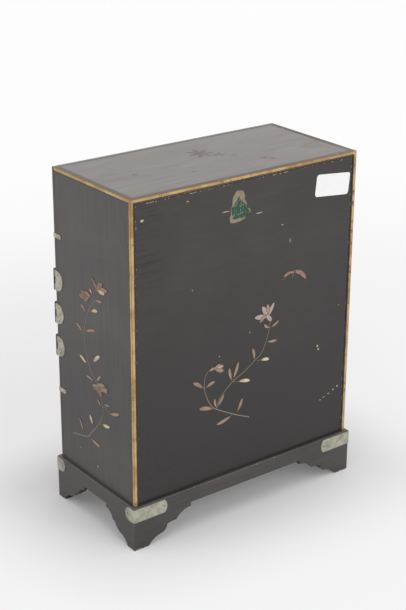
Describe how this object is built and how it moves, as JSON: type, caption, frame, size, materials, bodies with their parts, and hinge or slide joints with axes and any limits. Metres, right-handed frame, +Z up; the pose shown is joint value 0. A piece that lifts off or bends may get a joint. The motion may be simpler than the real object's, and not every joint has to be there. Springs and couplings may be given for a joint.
{
  "type": "small tansu chest",
  "caption": "Small black-lacquered tabletop chest with hinged doors, drawers and metal mounts on a scalloped bracket-foot plinth.",
  "frame": {"origin": "on the floor plane, under the middle of the overall box", "axes": "+Z up, -Y out of the doors and drawers (front), +X to the right as seen from the front"},
  "size_m": [0.2998, 0.1526, 0.38],
  "materials": {
    "black_lacquer": "black urushi lacquer over wood, aged satin gloss, worn gilt edge lines",
    "bare_wood": "bare planed paulownia-like wood",
    "mount_metal": "aged pale white-metal sheet, mottled grey-green tarnish",
    "dark_iron": "dark patinated wire and pins"
  },
  "bodies": {
    "case": {"case_side_right": "black_lacquer", "case_side_left": "black_lacquer", "case_top": "black_lacquer", "case_bottom": "black_lacquer", "lower_rail_board": "black_lacquer", "upper_rail_board": "black_lacquer", "drawer_partition": "black_lacquer", "case_back": "black_lacquer", "plinth_front": "black_lacquer", "plinth_back": "black_lacquer", "plinth_right": "black_lacquer", "plinth_left": "black_lacquer", "shelf": "black_lacquer", "shelf_cleats": "bare_wood", "door_stops": "bare_wood", "corner_blocks": "bare_wood", "plinth_mount_back_right": "mount_metal", "plinth_mount_back_left": "mount_metal", "plinth_mount_front_right": "mount_metal", "plinth_mount_front_left": "mount_metal", "plinth_nails": "mount_metal", "edge_straps": "mount_metal", "case_nails": "mount_metal", "hinge_side_leaves_right": "mount_metal", "hinge_side_leaves_left": "mount_metal", "hinge_pins": "dark_iron"},
    "door_right": {"door_right": "black_lacquer", "hinge_door_leaves_right": "mount_metal", "hinge_door_nails_right": "mount_metal", "ring_post_right": "mount_metal"},
    "door_left": {"door_left": "black_lacquer", "hinge_door_leaves_left": "mount_metal", "hinge_door_nails_left": "mount_metal", "ring_post_left": "mount_metal"},
    "bottom_drawer": {"bottom_drawer_posts": "mount_metal", "bottom_drawer_front": "black_lacquer", "bottom_drawer_side_left": "bare_wood", "bottom_drawer_side_right": "bare_wood", "bottom_drawer_back": "bare_wood", "bottom_drawer_floor": "bare_wood"},
    "top_drawer_right": {"top_drawer_posts_right": "mount_metal", "top_drawer_right_front": "black_lacquer", "top_drawer_right_side_left": "bare_wood", "top_drawer_right_side_right": "bare_wood", "top_drawer_right_back": "bare_wood", "top_drawer_right_floor": "bare_wood"},
    "top_drawer_left": {"top_drawer_posts_left": "mount_metal", "top_drawer_left_front": "black_lacquer", "top_drawer_left_side_left": "bare_wood", "top_drawer_left_side_right": "bare_wood", "top_drawer_left_back": "bare_wood", "top_drawer_left_floor": "bare_wood"},
    "pull_ring_right": {"pull_ring_right": "dark_iron"},
    "pull_ring_left": {"pull_ring_left": "dark_iron"},
    "bottom_bail_right": {"bottom_bail_right": "dark_iron"},
    "bottom_bail_left": {"bottom_bail_left": "dark_iron"},
    "top_bail_right": {"top_bail_right": "dark_iron"},
    "top_bail_left": {"top_bail_left": "dark_iron"}
  },
  "joints": [
    {"name": "door_right_hinge", "type": "hinge", "parent": "case", "child": "door_right", "pos_m": [0.1434, -0.07135, 0.21925], "axis": [0, 0, 1], "range_deg": [0, 240]},
    {"name": "door_left_hinge", "type": "hinge", "parent": "case", "child": "door_left", "pos_m": [-0.1434, -0.07135, 0.21925], "axis": [0, 0, -1], "range_deg": [0, 240]},
    {"name": "bottom_drawer_slide", "type": "slide", "parent": "case", "child": "bottom_drawer", "axis": [0, -1, 0], "range_m": [0, 0.1]},
    {"name": "top_drawer_right_slide", "type": "slide", "parent": "case", "child": "top_drawer_right", "axis": [0, -1, 0], "range_m": [0, 0.1]},
    {"name": "top_drawer_left_slide", "type": "slide", "parent": "case", "child": "top_drawer_left", "axis": [0, -1, 0], "range_m": [0, 0.1]},
    {"name": "pull_ring_right_swing", "type": "hinge", "parent": "door_right", "child": "pull_ring_right", "pos_m": [0.0177, -0.07385, 0.22525], "axis": [-1, 0, 0], "range_deg": [-12, 165]},
    {"name": "bottom_bail_right_swing", "type": "hinge", "parent": "bottom_drawer", "child": "bottom_bail_right", "pos_m": [0.068, -0.07365, 0.096], "axis": [-1, 0, 0], "range_deg": [-12, 165]},
    {"name": "top_bail_right_swing", "type": "hinge", "parent": "top_drawer_right", "child": "top_bail_right", "pos_m": [0.06975, -0.07365, 0.34375], "axis": [-1, 0, 0], "range_deg": [-12, 165]},
    {"name": "pull_ring_left_swing", "type": "hinge", "parent": "door_left", "child": "pull_ring_left", "pos_m": [-0.0177, -0.07385, 0.22525], "axis": [-1, 0, 0], "range_deg": [-12, 165]},
    {"name": "bottom_bail_left_swing", "type": "hinge", "parent": "bottom_drawer", "child": "bottom_bail_left", "pos_m": [-0.068, -0.07365, 0.096], "axis": [-1, 0, 0], "range_deg": [-12, 165]},
    {"name": "top_bail_left_swing", "type": "hinge", "parent": "top_drawer_left", "child": "top_bail_left", "pos_m": [-0.06975, -0.07365, 0.34375], "axis": [-1, 0, 0], "range_deg": [-12, 165]}
  ]
}
